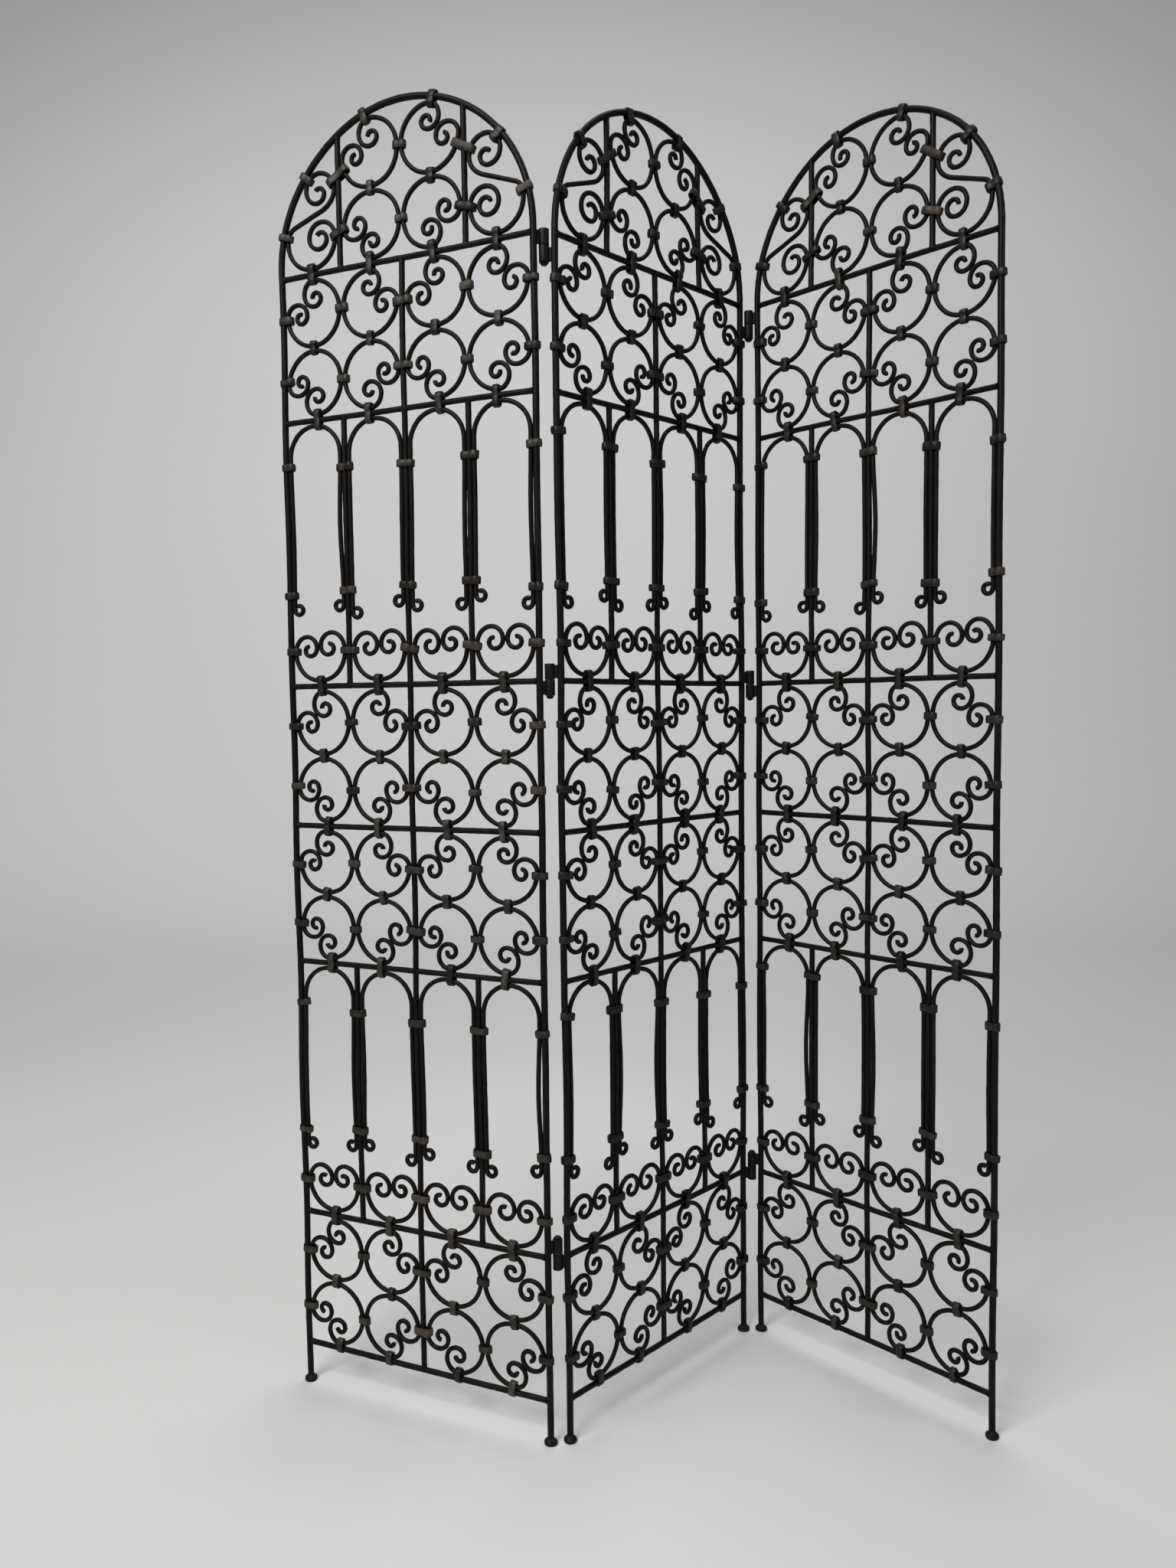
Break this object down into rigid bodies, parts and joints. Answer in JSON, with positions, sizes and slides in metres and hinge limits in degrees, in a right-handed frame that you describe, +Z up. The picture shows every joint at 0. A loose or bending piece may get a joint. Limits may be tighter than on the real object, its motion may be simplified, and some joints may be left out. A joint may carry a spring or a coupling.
{
  "type": "folding screen",
  "caption": "Tall folding floor screen of arched iron panels filled with scrollwork, bound with strip collars and joined by barrel hinges.",
  "frame": {"origin": "on the floor, under the middle of the footprint's bounding box", "axes": "+Z up; -Y towards the side seen in the picture; +X to the right in the picture"},
  "size_m": [0.9828, 0.3168, 1.8156],
  "materials": {
    "frame_iron": "hand-forged round bar, blackened and waxed, satin",
    "scroll_iron": "hand-bent round bar, blackened and waxed, satin",
    "collar_iron": "flat strip wrapped hot round the bars, blackened, partly brown with age",
    "hinge_iron": "blackened tube and pin, satin",
    "foot_iron": "upset and squashed button, blackened, matte"
  },
  "bodies": {
    "left_panel": {"left_panel_left_stile": "frame_iron", "left_panel_right_stile": "frame_iron", "left_panel_arch": "frame_iron", "left_panel_rails": "frame_iron", "left_panel_centre_bar": "frame_iron", "left_panel_quarter_bars": "frame_iron", "left_panel_feet": "foot_iron", "left_panel_arch_scrolls": "scroll_iron", "left_panel_upper_scrolls": "scroll_iron", "left_panel_upper_hoops": "scroll_iron", "left_panel_upper_baskets": "scroll_iron", "left_panel_middle_scrolls": "scroll_iron", "left_panel_lower_hoops": "scroll_iron", "left_panel_lower_baskets": "scroll_iron", "left_panel_lower_scrolls": "scroll_iron", "left_panel_top_collars": "collar_iron", "left_panel_middle_collars": "collar_iron", "left_panel_bottom_collars": "collar_iron", "left_hinge_outer_knuckles": "hinge_iron"},
    "middle_panel": {"middle_panel_left_stile": "frame_iron", "middle_panel_right_stile": "frame_iron", "middle_panel_arch": "frame_iron", "middle_panel_rails": "frame_iron", "middle_panel_centre_bar": "frame_iron", "middle_panel_quarter_bars": "frame_iron", "middle_panel_feet": "foot_iron", "middle_panel_arch_scrolls": "scroll_iron", "middle_panel_upper_scrolls": "scroll_iron", "middle_panel_upper_hoops": "scroll_iron", "middle_panel_upper_baskets": "scroll_iron", "middle_panel_middle_scrolls": "scroll_iron", "middle_panel_lower_hoops": "scroll_iron", "middle_panel_lower_baskets": "scroll_iron", "middle_panel_lower_scrolls": "scroll_iron", "middle_panel_top_collars": "collar_iron", "middle_panel_middle_collars": "collar_iron", "middle_panel_bottom_collars": "collar_iron", "left_hinge_inner_knuckles": "hinge_iron", "left_hinge_pins": "hinge_iron", "right_hinge_inner_knuckles": "hinge_iron", "right_hinge_pins": "hinge_iron"},
    "right_panel": {"right_panel_left_stile": "frame_iron", "right_panel_right_stile": "frame_iron", "right_panel_arch": "frame_iron", "right_panel_rails": "frame_iron", "right_panel_centre_bar": "frame_iron", "right_panel_quarter_bars": "frame_iron", "right_panel_feet": "foot_iron", "right_panel_arch_scrolls": "scroll_iron", "right_panel_upper_scrolls": "scroll_iron", "right_panel_upper_hoops": "scroll_iron", "right_panel_upper_baskets": "scroll_iron", "right_panel_middle_scrolls": "scroll_iron", "right_panel_lower_hoops": "scroll_iron", "right_panel_lower_baskets": "scroll_iron", "right_panel_lower_scrolls": "scroll_iron", "right_panel_top_collars": "collar_iron", "right_panel_middle_collars": "collar_iron", "right_panel_bottom_collars": "collar_iron", "right_hinge_outer_knuckles": "hinge_iron"}
  },
  "joints": [
    {"name": "left_fold", "type": "hinge", "parent": "middle_panel", "child": "left_panel", "pos_m": [-0.10502, -0.1441, 0.9], "axis": [0, 0, 1], "range_deg": [-108.5, 71.5]},
    {"name": "right_fold", "type": "hinge", "parent": "middle_panel", "child": "right_panel", "pos_m": [0.19534, 0.14941, 0.9], "axis": [0, 0, 1], "range_deg": [-86, 94]}
  ]
}
